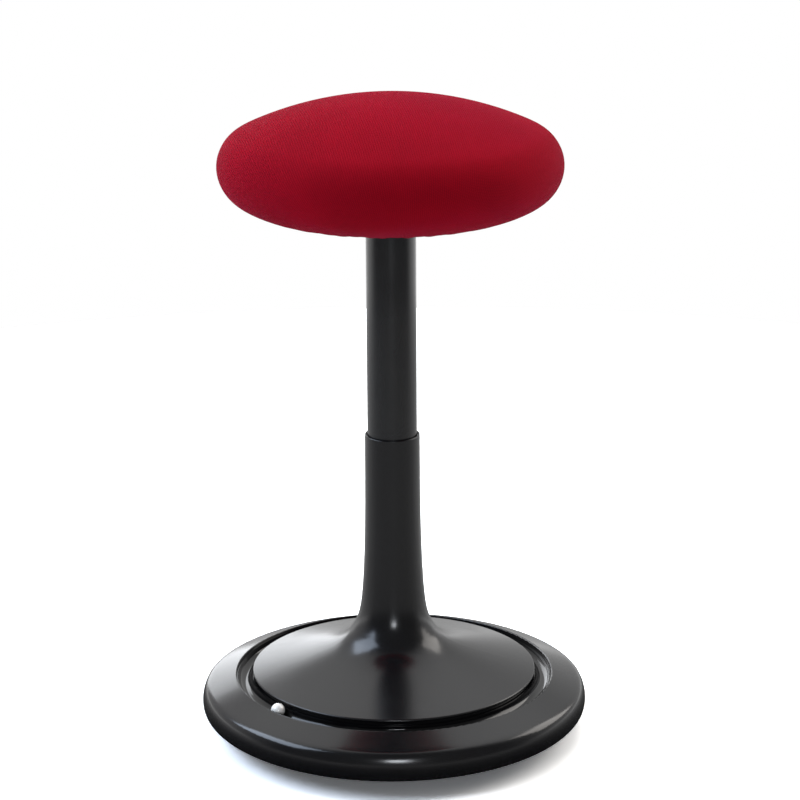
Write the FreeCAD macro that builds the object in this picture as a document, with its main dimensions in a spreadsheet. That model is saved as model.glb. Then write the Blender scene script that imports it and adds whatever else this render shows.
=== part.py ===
# Wobble stool: a swivelling, height-adjustable seat on a trumpet-shaped pedestal. The base rocks on a domed
# rubber sole, and a steel ball rolls in a channel round the pedestal.
# Millimetres, +Z up, origin where the axis of the column meets the floor.
import FreeCAD, Part
import math
import os
import re
import Sketcher
from FreeCAD import Vector

doc = FreeCAD.newDocument("WobbleStool")
# The driving sizes, in millimetres (the ball's place round its channel is in degrees)
sizes = {
    # Seat column and its height travel
    "tube_radius": 25,
    "tube_wall": 2,
    "height_travel": 190,
    "tube_guided_length": 88,
    "tube_foot_clearance": 16,
    "lowest_gap": 31.6,
    "slide_fit": 0.05,
    "press_fit": 0.05,
    "part_gap": 0.3,
    # Base, from its outer edge inwards
    "base_radius": 197.2,
    "edge_tuck": 13.9,
    "ring_foot_width": 3.3,
    "ring_ledge_width": 8,
    "ring_shelf_width": 10,
    "track_wall": 1.1,
    "groove_radius": 7.6,
    "track_inner_wall": 1.9,
    "ball_to_rim": 7.9,
    "rim_overhang": 2.9,
    "weight_clearance": 7.2,
    # Base, from the floor upwards
    "sole_flat_radius": 60,
    "sole_dome_radius": 980,
    "sole_thickness": 3,
    "dish_wall": 4,
    "dish_land_width": 9,
    "rib_height": 12,
    "rib_thickness": 3,
    "plate_thickness": 3,
    "deck_height": 47,
    "lip_rise": 12.6,
    "groove_floor": 2.3,
    # Pedestal
    "bush_thickness": 1.1,
    "neck_wall": 1.6,
    "rim_rise": 16.7,
    "rim_thickness": 2.9,
    "pedestal_wall": 3,
    "skirt_flange_width": 20,
    "skirt_flange_thickness": 6,
    "pedestal_screw_radius": 3,
    "ring_screw_radius": 2,
    # Ballast
    "weight_inner_radius": 70,
    "weight_thickness": 12,
    "weight_bolt_radius": 4,
    # Ball
    "ball_radius": 7,
    "ball_direction": 220.7,
    # Hub at the foot of the column, and the bearing on its floor
    "hub_clearance": 2,
    "hub_wall": 4,
    "hub_rise": 5,
    "rod_room": 9,
    "hub_floor_thickness": 4,
    "race_outer_radius": 13,
    "race_thickness": 2,
    "bearing_ball_radius": 1.6,
    "cage_thickness": 1.2,
    "buffer_height": 15,
    # Gas spring
    "rod_radius": 5,
    "rod_stub_radius": 4,
    "rod_stub_drop": 5,
    "rod_neck_radius": 3.5,
    "clip_thickness": 1.2,
    "clip_groove_depth": 0.6,
    "washer_thickness": 1.95,
    "cylinder_radius": 14,
    "cylinder_wall": 2.5,
    "gland_length": 13,
    "piston_length": 12,
    "nut_height": 5,
    "valve_pin_radius": 3,
    "valve_pin_rise": 6.7,
    "valve_cap_thickness": 11,
    # Guide bushes in the neck
    "bush_recess": 2,
    "upper_bush_length": 14,
    "lower_bush_length": 22,
    "lower_bush_rise": 14,
    # Seat
    "flange_thickness": 7,
    "hub_plug_length": 34,
    "seat_radius": 170.8,
    "seat_depth": 115.6,
    "cover_thickness": 1.6,
    "shell_share": 0.58548,
    "flange_share": 0.6,
    "shell_edge_bevel": 2,
    "shell_thickness": 8,
    "shell_wall": 3,
    "well_radius": 42,
    "well_depth": 24,
    "cover_wrap": 12,
    "trim_overlap": 4,
    "trim_thickness": 2,
    "seat_screw_radius": 3,
    # Release lever
    "lever_width": 8,
    "lever_thickness": 6,
    "lever_pivot_reach": 24,
    "lever_pivot_height": 9.4,
    "lever_pin_radius": 2,
    "lever_pin_length": 20,
    "ear_thickness": 4,
    "lever_setback": 42.8,
    "lever_drop": 14.6,
    "grip_width": 42,
    "grip_length": 44,
    "grip_thickness": 11,
    "grip_rounding": 3.5,
}
# Sizes that follow from the driving sizes, with the seat at its highest
follows = {
    "base_edge_radius": "base_radius - edge_tuck",
    "dish_radius": "base_edge_radius - ring_foot_width",
    "plate_radius": "dish_radius - ring_ledge_width",
    "lip_radius": "plate_radius - ring_shelf_width",
    "ring_screw_circle": "plate_radius - ring_shelf_width / 2",
    "ball_circle": "lip_radius - part_gap - track_wall - groove_radius",
    "track_inner_radius": "ball_circle - groove_radius - track_inner_wall",
    "rim_radius": "ball_circle - ball_to_rim",
    "skirt_radius": "rim_radius - rim_overhang",
    "pedestal_screw_circle": "skirt_radius - skirt_flange_width / 2",
    "weight_outer_radius": "pedestal_screw_circle - weight_clearance",
    "weight_bolt_circle": "(weight_inner_radius + weight_outer_radius) / 2",
    "dish_floor": "sole_thickness + dish_wall",
    "plate_underside": "deck_height - plate_thickness",
    "weight_underside": "plate_underside - weight_thickness",
    "lip_height": "deck_height + lip_rise",
    "rim_height": "deck_height + rim_rise",
    "flange_top": "deck_height + skirt_flange_thickness",
    "groove_height": "deck_height + groove_floor + groove_radius",
    "ball_height": "deck_height + groove_floor + part_gap + ball_radius",
    "pedestal_bore": "tube_radius + slide_fit + bush_thickness + press_fit",
    "neck_radius": "pedestal_bore + neck_wall",
    "hub_bore": "tube_radius + hub_clearance",
    "hub_outer_radius": "hub_bore + hub_wall",
    "hub_floor_underside": "dish_floor + rod_room",
    "hub_floor": "hub_floor_underside + hub_floor_thickness",
    "tube_foot": "hub_floor + tube_foot_clearance + height_travel",
    "collar": "tube_foot + tube_guided_length",
    "tube_top": "collar + height_travel + lowest_gap",
    "tube_bore": "tube_radius - tube_wall",
    "seat_deck": "tube_top + flange_thickness",
    "seat_underside": "seat_deck - cover_thickness - part_gap",
    "bearing_circle": "(rod_stub_radius + race_outer_radius) / 2 + 0.7",
    "lower_race_top": "hub_floor + race_thickness",
    "bearing_middle": "lower_race_top + bearing_ball_radius + slide_fit",
    "upper_race_foot": "bearing_middle + bearing_ball_radius + slide_fit",
    "buffer_foot": "upper_race_foot + race_thickness",
    "buffer_top": "buffer_foot + buffer_height",
    "clip_top": "hub_floor_underside - slide_fit - washer_thickness",
    "clip_groove_radius": "rod_stub_radius - clip_groove_depth",
    "cylinder_foot": "buffer_top + height_travel + part_gap",
    "cylinder_bore": "cylinder_radius - cylinder_wall",
    "cylinder_top": "seat_deck - part_gap",
    "piston_foot": "cylinder_foot + gland_length + 3",
    "piston_top": "piston_foot + piston_length",
    "pin_foot": "cylinder_top - valve_cap_thickness + 1",
    "pin_top": "seat_deck + valve_pin_rise",
    "pivot_height": "seat_deck + lever_pivot_height",
    "shell_radius": "seat_radius * shell_share",
    "flange_radius": "shell_radius * flange_share",
    "shell_top": "seat_deck + shell_thickness",
    "well_top": "seat_deck + well_depth",
    "cover_wrap_radius": "shell_radius - cover_wrap",
    "trim_inner_radius": "flange_radius + 1",
    "trim_outer_radius": "cover_wrap_radius + trim_overlap",
    "seat_screw_circle": "(well_radius + flange_radius) / 2",
    "lever_reach": "seat_radius - lever_setback",
    "arm_foot": "tube_top - lever_drop",
    "arm_top": "arm_foot + lever_thickness",
    "arm_middle": "arm_foot + lever_thickness / 2",
    "slot_half_width": "lever_width / 2 + part_gap",
}
sheet = doc.addObject("Spreadsheet::Sheet", "Sizes")
for row, (name, number) in enumerate(sizes.items(), 1):
    sheet.set("A%d" % row, name.replace("_", " "))
    sheet.set("B%d" % row, str(number))
    sheet.setAlias("B%d" % row, name)
doc.recompute()


def dome(radius):
    """Height of the sole's rocking dome above the floor, at a radius outside its flat middle."""
    return ("(sqrt(sole_dome_radius ^ 2 - sole_flat_radius ^ 2) - sqrt(sole_dome_radius ^ 2 - (%s) ^ 2))"
            % radius)


def bound(expression):
    """Write an expression of size names in terms of the sheet's cells."""
    def cell(word):
        name = word.group()
        if name in follows:
            return "(" + bound(follows[name]) + ")"
        return "Sizes." + name if name in sizes else name
    return re.sub("[a-z_]+", cell, str(expression))


def value(expression):
    """The number that an expression of sizes stands for now."""
    return float(sheet.evalExpression(bound(expression)))


def bind(feature, field, expression):
    """Tie a field of a feature to the sheet."""
    feature.setExpression(field, bound(expression))


def origin_item(body, role):
    """A plane or axis of the body's own origin."""
    return [item for item in body.Origin.OriginFeatures if item.Role == role][0]


def new_body(label):
    """An empty body for one sub-part, or for a group of like solids."""
    body = doc.addObject("PartDesign::Body", label)
    body.Label = label
    body.AllowCompound = True
    return body


def new_sketch(body, name, plane, height=None):
    """An empty sketch on one of the body's origin planes, lifted off it by a height if one is given."""
    sketch = body.newObject("Sketcher::SketchObject", name)
    sketch.AttachmentSupport = [(origin_item(body, plane), "")]
    sketch.MapMode = "FlatFace"
    if height is not None:
        bind(sketch, "AttachmentOffset.Base.z", height)
    return sketch


def place_point(sketch, edge, vertex, across, up):
    """Hold a sketch point at a place given by two expressions."""
    for kind, axis, where in (("DistanceX", -2, across), ("DistanceY", -1, up)):
        if str(where) == "0":
            sketch.addConstraint(Sketcher.Constraint("PointOnObject", edge, vertex, axis))
            continue
        index = sketch.addConstraint(Sketcher.Constraint(kind, -1, 1, edge, vertex, value(where)))
        sketch.setExpression("Constraints[%d]" % index, bound(where))


def arc_through(start, middle, end):
    """The arc of a circle through three points, and whether it runs clockwise."""
    circle = Part.Circle(Vector(*start, 0), Vector(*middle, 0), Vector(*end, 0))
    centre = circle.Center
    turn = (middle[0] - start[0]) * (end[1] - start[1]) - (middle[1] - start[1]) * (end[0] - start[0])
    angles = [math.atan2(point[1] - centre.y, point[0] - centre.x) for point in (start, end)]
    if turn < 0:
        angles.reverse()
    return Part.ArcOfCircle(Part.Circle(centre, Vector(0, 0, 1), circle.Radius), *angles), turn < 0


def smooth_curve(poles):
    """A cubic curve that its poles pull into shape."""
    curve = Part.BSplineCurve()
    spans = len(poles) - 2
    curve.buildFromPolesMultsKnots([Vector(*pole, 0) for pole in poles], [4] + [1] * (spans - 2) + [4],
                                   [float(knot) for knot in range(spans)], False, 3)
    return curve


def outline(sketch, corners):
    """Draw a closed outline. A corner is (across, up), reached by a straight edge. A third entry bends that
    edge: one point in it is a point on an arc, and more points are the poles of a smooth curve."""
    spots = [(value(corner[0]), value(corner[1])) for corner in corners]
    edges = []
    for number, corner in enumerate(corners):
        start, end = spots[number - 1], spots[number]
        bends = corner[2] if len(corner) > 2 else []
        inner = [(value(across), value(up)) for across, up in bends]
        clockwise = False
        if len(inner) == 1:
            arc, clockwise = arc_through(start, inner[0], end)
            edge = sketch.addGeometry(arc)
            point = sketch.addGeometry(Part.Point(Vector(*inner[0], 0)), True)
            place_point(sketch, point, 1, *bends[0])
            sketch.addConstraint(Sketcher.Constraint("PointOnObject", point, 1, edge))
        elif inner:
            edge = sketch.addGeometry(smooth_curve([start] + inner + [end]))
            sketch.exposeInternalGeometry(edge)
            for step, bend in enumerate(bends):
                place_point(sketch, edge + 2 + step, 3, *bend)
        else:
            edge = sketch.addGeometry(Part.LineSegment(Vector(*start, 0), Vector(*end, 0)))
        edges.append((edge, 2, 1) if clockwise else (edge, 1, 2))
    for number, corner in enumerate(corners):
        edge, _, end = edges[number]
        following, start, _ = edges[(number + 1) % len(edges)]
        sketch.addConstraint(Sketcher.Constraint("Coincident", edge, end, following, start))
        place_point(sketch, edge, end, corner[0], corner[1])


def turned(body, name, corners):
    """Add a solid of revolution about the column's axis. Corners are (radius, height)."""
    sketch = new_sketch(body, name + "_outline", "XZ_Plane")
    outline(sketch, corners)
    solid = body.newObject("PartDesign::Revolution", name)
    solid.Profile = sketch
    solid.ReferenceAxis = (sketch, ["V_Axis"])
    solid.Angle = 360
    return solid


def ring(body, name, inner, outer, low, high):
    """Add a plain ring, or a disc where the inner radius is 0."""
    return turned(body, name, [(inner, low), (outer, low), (outer, high), (inner, high)])


def sphere(body, name, radius, across, along, up):
    """Add a ball with its centre at the given place."""
    ball = body.newObject("PartDesign::AdditiveSphere", name)
    ball.AttachmentSupport = [(origin_item(body, "XY_Plane"), "")]
    ball.MapMode = "FlatFace"
    bind(ball, "Radius", radius)
    for direction, where in (("x", across), ("y", along), ("z", up)):
        bind(ball, "AttachmentOffset.Base." + direction, where)
    return ball


def circle_sketch(body, name, plane, across, up, radius, height=None):
    """A sketch of one circle."""
    sketch = new_sketch(body, name, plane, height)
    edge = sketch.addGeometry(Part.Circle(Vector(value(across), value(up), 0), Vector(0, 0, 1), value(radius)))
    place_point(sketch, edge, 3, across, up)
    index = sketch.addConstraint(Sketcher.Constraint("Radius", edge, value(radius)))
    sketch.setExpression("Constraints[%d]" % index, bound(radius))
    return sketch


def hexagon_sketch(body, name, across, corner_radius, height):
    """A sketch of a bolt head's or nut's hexagon, its centre on the X axis."""
    sketch = new_sketch(body, name, "XY_Plane", height)
    half = "0.5 * (%s)" % corner_radius
    side = "0.8660254 * (%s)" % corner_radius
    outline(sketch, [
        ("%s + %s" % (across, corner_radius), "0"),
        ("%s + %s" % (across, half), side),
        ("%s - %s" % (across, half), side),
        ("%s - %s" % (across, corner_radius), "0"),
        ("%s - %s" % (across, half), "0 - " + side),
        ("%s + %s" % (across, half), "0 - " + side),
    ])
    return sketch


def pad(body, name, sketch, length, midplane=False):
    """Add the sketch's outline, pushed out by a length."""
    solid = body.newObject("PartDesign::Pad", name)
    solid.Profile = sketch
    solid.Midplane = midplane
    bind(solid, "Length", length)
    return solid


def cut_through(body, name, sketch):
    """Cut the sketch's outline right through, both ways."""
    cut = body.newObject("PartDesign::Pocket", name)
    cut.Profile = sketch
    cut.Midplane = True
    cut.Type = 1
    return cut


def around(body, name, features, count):
    """Repeat features evenly round the column's axis."""
    pattern = body.newObject("PartDesign::PolarPattern", name)
    pattern.Originals = features
    pattern.Axis = (origin_item(body, "Z_Axis"), [""])
    pattern.Angle = 360
    pattern.Occurrences = count
    body.Tip = pattern
    return pattern


def round_holes(body, name, circle, radius, count, end=None, depth=None):
    """Drill a circle of holes: right through, or from below up to an end height."""
    sketch = circle_sketch(body, name + "_outline", "XY_Plane", circle, "0", radius, end or "0")
    if end is None:
        hole = cut_through(body, name, sketch)
    else:
        hole = body.newObject("PartDesign::Pocket", name)
        hole.Profile = sketch
        bind(hole, "Length", depth)
    doc.recompute()
    return around(body, name + "_circle", [hole], count)


def fasteners(label, circle, count, shank, head_radius, head_height, seat, tip, hexagonal=False):
    """A circle of like screws, driven from below: their heads lie under a seat, their tips at a height."""
    body = new_body(label)
    head_foot = "%s - (%s)" % (seat, head_height)
    if hexagonal:
        sketch = hexagon_sketch(body, label + "_head_outline", circle, head_radius, head_foot)
    else:
        sketch = circle_sketch(body, label + "_head_outline", "XY_Plane", circle, "0", head_radius, head_foot)
    head = pad(body, label + "_head", sketch, head_height)
    sketch = circle_sketch(body, label + "_shaft_outline", "XY_Plane", circle, "0", shank, head_foot)
    shaft = pad(body, label + "_shaft", sketch, "(%s) - (%s)" % (tip, head_foot))
    doc.recompute()
    around(body, label + "_circle", [head, shaft], count)


def rubber_sole():
    """Domed anti-slip skin, flat in the middle so that the stool stands still when nobody sits on it."""
    middle = "(sole_flat_radius + dish_radius) / 2"
    turned(new_body("rubber_sole"), "sole", [
        ("0", "0"),
        ("sole_flat_radius", "0"),
        ("dish_radius", dome("dish_radius"), [(middle, dome(middle))]),
        ("dish_radius", dome("dish_radius") + " + sole_thickness"),
        ("sole_flat_radius", "sole_thickness", [(middle, dome(middle) + " + sole_thickness")]),
        ("0", "sole_thickness"),
    ])


def rocker_dish():
    """Moulded dish on the sole, ribbed inside, with a level land round its edge that carries the ring."""
    body = new_body("rocker_dish")
    middle = "(sole_flat_radius + dish_radius) / 2"
    land = "(dish_radius - dish_land_width)"
    inside = "(sole_flat_radius + dish_radius - dish_land_width) / 2"
    turned(body, "dish", [
        ("0", "sole_thickness"),
        ("sole_flat_radius", "sole_thickness"),
        ("dish_radius", dome("dish_radius") + " + sole_thickness", [(middle, dome(middle) + " + sole_thickness")]),
        ("dish_radius", dome("dish_radius") + " + dish_floor"),
        (land, dome("dish_radius") + " + dish_floor"),
        (land, dome(land) + " + dish_floor"),
        ("sole_flat_radius", "dish_floor", [(inside, dome(inside) + " + dish_floor")]),
        ("0", "dish_floor"),
    ])
    sketch = new_sketch(body, "rib_outline", "XZ_Plane")
    inner = "hub_outer_radius + part_gap"
    sunk = " + dish_floor - dish_wall / 2"
    outline(sketch, [
        (inner, "dish_floor - dish_wall / 2"),
        ("sole_flat_radius", "dish_floor - dish_wall / 2"),
        (land, dome(land) + sunk, [(inside, dome(inside) + sunk)]),
        (land, dome("dish_radius") + " + dish_floor"),
        (inner, "dish_floor + rib_height"),
    ])
    rib = pad(body, "rib", sketch, "rib_thickness", midplane=True)
    doc.recompute()
    around(body, "ribs", [rib], 12)


def base_ring():
    """Thick moulded ring: its top slopes out from the lip and rolls under to the sole."""
    body = new_body("base_ring")
    land_height = dome("dish_radius") + " + dish_floor"
    foot = "dish_radius + part_gap"
    wall = "plate_radius + part_gap"
    depth = "(lip_height - %s)" % dome("base_edge_radius")
    turned(body, "ring", [
        ("lip_radius", "deck_height"),
        ("lip_radius", "lip_height - 1"),
        ("lip_radius + 1.6", "lip_height - 0.4", [("lip_radius + 0.5", "lip_height - 0.2")]),
        ("base_edge_radius", dome("base_edge_radius"), [
            ("lip_radius + 9", "lip_height - 0.072 * " + depth),
            ("base_radius - 8.5", "lip_height - 0.219 * " + depth),
            ("base_radius - 2.5", "lip_height - 0.273 * " + depth),
            ("base_radius + 2.1", "lip_height - 0.711 * " + depth),
            ("base_radius - 4", "lip_height - 0.914 * " + depth),
        ]),
        (foot, dome(foot)),
        (foot, land_height),
        (wall, land_height),
        (wall, "deck_height"),
    ])
    round_holes(body, "ring_screw_holes", "ring_screw_circle", "ring_screw_radius + press_fit", 8,
                "deck_height + 0.65 * lip_rise + part_gap", "0.65 * lip_rise + part_gap")


def base_plate():
    """Steel disc that carries the ring, the ballast, the channel, the hub and the pedestal."""
    body = new_body("base_plate")
    ring(body, "plate", "hub_outer_radius + press_fit", "plate_radius", "plate_underside", "deck_height")
    round_holes(body, "weight_bolt_holes", "weight_bolt_circle", "weight_bolt_radius + press_fit", 4)
    round_holes(body, "pedestal_screw_holes", "pedestal_screw_circle", "pedestal_screw_radius + press_fit", 6)
    round_holes(body, "ring_screw_holes", "ring_screw_circle", "ring_screw_radius + press_fit", 8)


def weight_ring():
    """Cast ballast under the plate, which brings the stool back upright."""
    body = new_body("weight_ring")
    ring(body, "weight", "weight_inner_radius", "weight_outer_radius", "weight_underside", "plate_underside")
    round_holes(body, "weight_bolt_holes", "weight_bolt_circle", "weight_bolt_radius + press_fit", 4)


def ball_track():
    """Moulded channel with a round groove that the ball rolls in."""
    turned(new_body("ball_track"), "track", [
        ("track_inner_radius", "deck_height"),
        ("lip_radius - part_gap", "deck_height"),
        ("lip_radius - part_gap", "groove_height"),
        ("ball_circle + groove_radius", "groove_height"),
        ("ball_circle - groove_radius", "groove_height", [("ball_circle", "groove_height - groove_radius")]),
        ("track_inner_radius", "groove_height"),
    ])


def track_ball():
    """Steel ball lying in the channel, at the front left of the stool."""
    sphere(new_body("track_ball"), "ball", "ball_radius", "ball_circle * cos(ball_direction * 1deg)",
           "ball_circle * sin(ball_direction * 1deg)", "ball_height")


def pedestal():
    """Spun trumpet: a long neck that flares into a shallow cone with a rolled rim, over a flanged skirt."""
    body = new_body("pedestal")
    turned(body, "trumpet", [
        ("pedestal_bore", "collar"),
        ("neck_radius - 0.8", "collar"),
        ("neck_radius", "collar - 0.8", [("neck_radius - 0.2", "collar - 0.2")]),
        ("rim_radius - 1.2", "rim_height + 0.4", [
            ("neck_radius + 0.1", "collar - 66.7"),
            ("neck_radius + 0.9", "collar - 122.1"),
            ("neck_radius + 4.8", "rim_height + 60.7"),
            ("neck_radius + 13.2", "rim_height + 46.9"),
            ("neck_radius + 26.6", "rim_height + 23.4"),
            ("rim_radius - 32.7", "rim_height + 8.9"),
        ]),
        ("rim_radius - 1.2", "rim_height - rim_thickness", [("rim_radius", "rim_height - rim_thickness / 2 + 0.2")]),
        ("skirt_radius", "rim_height - rim_thickness"),
        ("skirt_radius", "deck_height"),
        ("skirt_radius - skirt_flange_width", "deck_height"),
        ("skirt_radius - skirt_flange_width", "flange_top"),
        ("skirt_radius - pedestal_wall", "flange_top"),
        ("skirt_radius - pedestal_wall", "rim_height + 1.4 - pedestal_wall"),
        ("rim_radius - 47.1", "rim_height + 12.8 - pedestal_wall"),
        ("neck_radius + 43", "rim_height + 21.5 - pedestal_wall"),
        ("neck_radius + 2.8", "rim_height + 67.6", [("neck_radius + 15.8", "rim_height + 37.4")]),
        ("pedestal_bore", "collar - 100"),
    ])
    round_holes(body, "pedestal_screw_holes", "pedestal_screw_circle", "pedestal_screw_radius + press_fit", 6,
                "flange_top", "skirt_flange_thickness")


def hub_cup():
    """Turned cup welded into the plate. Its floor holds the rod, and its foot stands on the dish."""
    turned(new_body("hub_cup"), "cup", [
        ("hub_outer_radius", "dish_floor"),
        ("hub_outer_radius", "deck_height + hub_rise"),
        ("hub_bore", "deck_height + hub_rise"),
        ("hub_bore", "hub_floor"),
        ("rod_stub_radius + slide_fit", "hub_floor"),
        ("rod_stub_radius + slide_fit", "hub_floor_underside"),
        ("hub_bore", "hub_floor_underside"),
        ("hub_bore", "dish_floor"),
    ])


def bushes():
    """Two plastic sleeves in the neck that the seat tube slides and turns in."""
    inner = "tube_radius + slide_fit"
    outer = "tube_radius + slide_fit + bush_thickness"
    ring(new_body("upper_bush"), "upper_sleeve", inner, outer, "collar - bush_recess - upper_bush_length",
         "collar - bush_recess")
    ring(new_body("lower_bush"), "lower_sleeve", inner, outer, "tube_foot + lower_bush_rise",
         "tube_foot + lower_bush_rise + lower_bush_length")


def thrust_bearing():
    """Ball thrust bearing on the hub's floor, under the foot of the rod."""
    ring(new_body("bearing_lower_race"), "lower_race", "rod_stub_radius + 1", "race_outer_radius", "hub_floor",
         "lower_race_top")
    body = new_body("bearing_balls")
    ball = sphere(body, "bearing_ball", "bearing_ball_radius", "bearing_circle", "0", "bearing_middle")
    doc.recompute()
    around(body, "bearing_ball_circle", [ball], 8)
    body = new_body("bearing_cage")
    ring(body, "cage", "rod_stub_radius + 1.5", "race_outer_radius - 0.4", "bearing_middle - cage_thickness / 2",
         "bearing_middle + cage_thickness / 2")
    round_holes(body, "cage_pockets", "bearing_circle", "bearing_ball_radius + 2 * slide_fit", 8)
    ring(new_body("bearing_upper_race"), "upper_race", "rod_stub_radius + slide_fit", "race_outer_radius",
         "upper_race_foot", "buffer_foot")


def buffer():
    """Rubber stop round the rod, which the cylinder lands on in the lowest position."""
    turned(new_body("buffer"), "stop", [
        ("rod_radius + slide_fit", "buffer_foot"),
        ("race_outer_radius", "buffer_foot"),
        ("race_outer_radius - 1.5", "(buffer_foot + buffer_top) / 2"),
        ("race_outer_radius", "buffer_top"),
        ("rod_radius + slide_fit", "buffer_top"),
    ])


def piston_rod():
    """Hardened rod: its stub passes through the hub's floor, and its neck carries the piston."""
    stub_foot = "hub_floor_underside - rod_stub_drop"
    turned(new_body("piston_rod"), "rod", [
        ("0", stub_foot),
        ("rod_stub_radius - 0.5", stub_foot),
        ("rod_stub_radius", stub_foot + " + 0.5"),
        ("rod_stub_radius", "clip_top - clip_thickness"),
        ("clip_groove_radius", "clip_top - clip_thickness"),
        ("clip_groove_radius", "clip_top"),
        ("rod_stub_radius", "clip_top"),
        ("rod_stub_radius", "buffer_foot"),
        ("rod_radius", "buffer_foot"),
        ("rod_radius", "piston_foot"),
        ("rod_neck_radius", "piston_foot"),
        ("rod_neck_radius", "piston_top + nut_height + 1"),
        ("0", "piston_top + nut_height + 1"),
    ])


def piston():
    """Piston on the rod's neck, its seal, and the nut that holds it."""
    outer = "cylinder_bore - slide_fit"
    groove = "cylinder_bore - 2"
    low = "(piston_foot + piston_top) / 2 - 1.2"
    high = "(piston_foot + piston_top) / 2 + 1.2"
    inner = "rod_neck_radius + press_fit"
    turned(new_body("piston"), "piston_head", [
        (inner, "piston_foot"),
        (outer, "piston_foot"),
        (outer, low),
        (groove, low),
        (groove, high),
        (outer, high),
        (outer, "piston_top"),
        (inner, "piston_top"),
    ])
    ring(new_body("piston_seal"), "seal", groove, outer, low, high)
    body = new_body("piston_nut")
    pad(body, "nut", hexagon_sketch(body, "nut_outline", "0", "1.9 * rod_neck_radius", "piston_top"), "nut_height")
    cut_through(body, "nut_hole", circle_sketch(body, "nut_hole_outline", "XY_Plane", "0", "0", inner))


def rod_fixings():
    """Washer and open spring clip that hold the rod down under the hub's floor."""
    ring(new_body("rod_washer"), "washer", "rod_stub_radius + slide_fit", "2.2 * rod_stub_radius", "clip_top",
         "clip_top + washer_thickness")
    body = new_body("rod_clip")
    ring(body, "clip", "clip_groove_radius", "1.8 * rod_stub_radius", "clip_top - clip_thickness", "clip_top")
    sketch = new_sketch(body, "clip_mouth_outline", "XY_Plane")
    side = "0.7 * clip_groove_radius"
    outline(sketch, [("0 - " + side, "0"), (side, "0"), (side, "3 * rod_stub_radius"),
                     ("0 - " + side, "3 * rod_stub_radius")])
    cut_through(body, "clip_mouth", sketch)


def seat_tube():
    """The visible column tube."""
    turned(new_body("seat_tube"), "tube", [
        ("tube_bore", "tube_foot"),
        ("tube_radius - 0.8", "tube_foot"),
        ("tube_radius", "tube_foot + 0.8"),
        ("tube_radius", "tube_top"),
        ("tube_bore", "tube_top"),
    ])


def gas_cylinder():
    """Pressure tube of the gas spring, closed at the top round the valve pin and at the foot by a gland."""
    turned(new_body("gas_cylinder"), "cylinder", [
        ("cylinder_bore", "cylinder_foot"),
        ("cylinder_radius", "cylinder_foot"),
        ("cylinder_radius", "cylinder_top - 1"),
        ("cylinder_radius - 1", "cylinder_top"),
        ("valve_pin_radius + slide_fit", "cylinder_top"),
        ("valve_pin_radius + slide_fit", "cylinder_top - valve_cap_thickness"),
        ("cylinder_bore", "cylinder_top - valve_cap_thickness"),
    ])
    ring(new_body("cylinder_gland"), "gland", "rod_radius + slide_fit", "cylinder_bore - press_fit",
         "cylinder_foot + 1", "cylinder_foot + 1 + gland_length")
    ring(new_body("cylinder_ring"), "centring_ring", "cylinder_radius + press_fit", "tube_bore - press_fit",
         "cylinder_foot + 4", "cylinder_foot + 12")


def valve_pin():
    """Pin in the cylinder's cap that frees the gas spring when the lever presses it."""
    turned(new_body("valve_pin"), "pin", [
        ("0", "pin_foot"),
        ("valve_pin_radius", "pin_foot"),
        ("valve_pin_radius", "pin_top - 0.6"),
        ("valve_pin_radius - 0.6", "pin_top"),
        ("0", "pin_top"),
    ])


def seat_hub():
    """Die-cast head: a plug in the tube, a flange under the seat shell, and a clevis for the lever."""
    body = new_body("seat_hub")
    bore = "cylinder_radius + press_fit"
    plug = "tube_bore - press_fit"
    turned(body, "head", [
        (bore, "tube_top - hub_plug_length"),
        (plug, "tube_top - hub_plug_length"),
        (plug, "tube_top"),
        ("flange_radius - 1.5", "tube_top"),
        ("flange_radius", "tube_top + 1.5"),
        ("flange_radius", "seat_deck"),
        (bore, "seat_deck"),
    ])
    near = "lever_pivot_reach - 7"
    far = "lever_pivot_reach + 7"
    ears = new_sketch(body, "ears_outline", "YZ_Plane")
    outline(ears, [
        (near, "seat_deck"),
        (far, "seat_deck"),
        (far, "pivot_height"),
        (near, "pivot_height", [("lever_pivot_reach", "pivot_height + 6")]),
    ])
    pad(body, "ears", ears, "2 * (slot_half_width + ear_thickness)", midplane=True)
    for name, plane, start, end in (
        ("ear_gap", "XZ_Plane", "seat_deck", "seat_deck + 30"),
        ("lever_slot", "XY_Plane", "lever_pivot_reach + 5", "lever_pivot_reach + 20"),
    ):
        sketch = new_sketch(body, name + "_outline", plane)
        outline(sketch, [("0 - slot_half_width", start), ("slot_half_width", start), ("slot_half_width", end),
                         ("0 - slot_half_width", end)])
        cut_through(body, name, sketch)
    cut_through(body, "pin_hole", circle_sketch(body, "pin_hole_outline", "YZ_Plane", "lever_pivot_reach",
                                                "pivot_height", "lever_pin_radius + press_fit"))
    round_holes(body, "seat_screw_holes", "seat_screw_circle", "seat_screw_radius + press_fit", 4)


def lever_pin():
    """Steel pin through the clevis."""
    body = new_body("lever_pin")
    sketch = circle_sketch(body, "lever_pin_outline", "YZ_Plane", "lever_pivot_reach", "pivot_height",
                           "lever_pin_radius")
    pad(body, "lever_pin_solid", sketch, "lever_pin_length", midplane=True)


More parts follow.
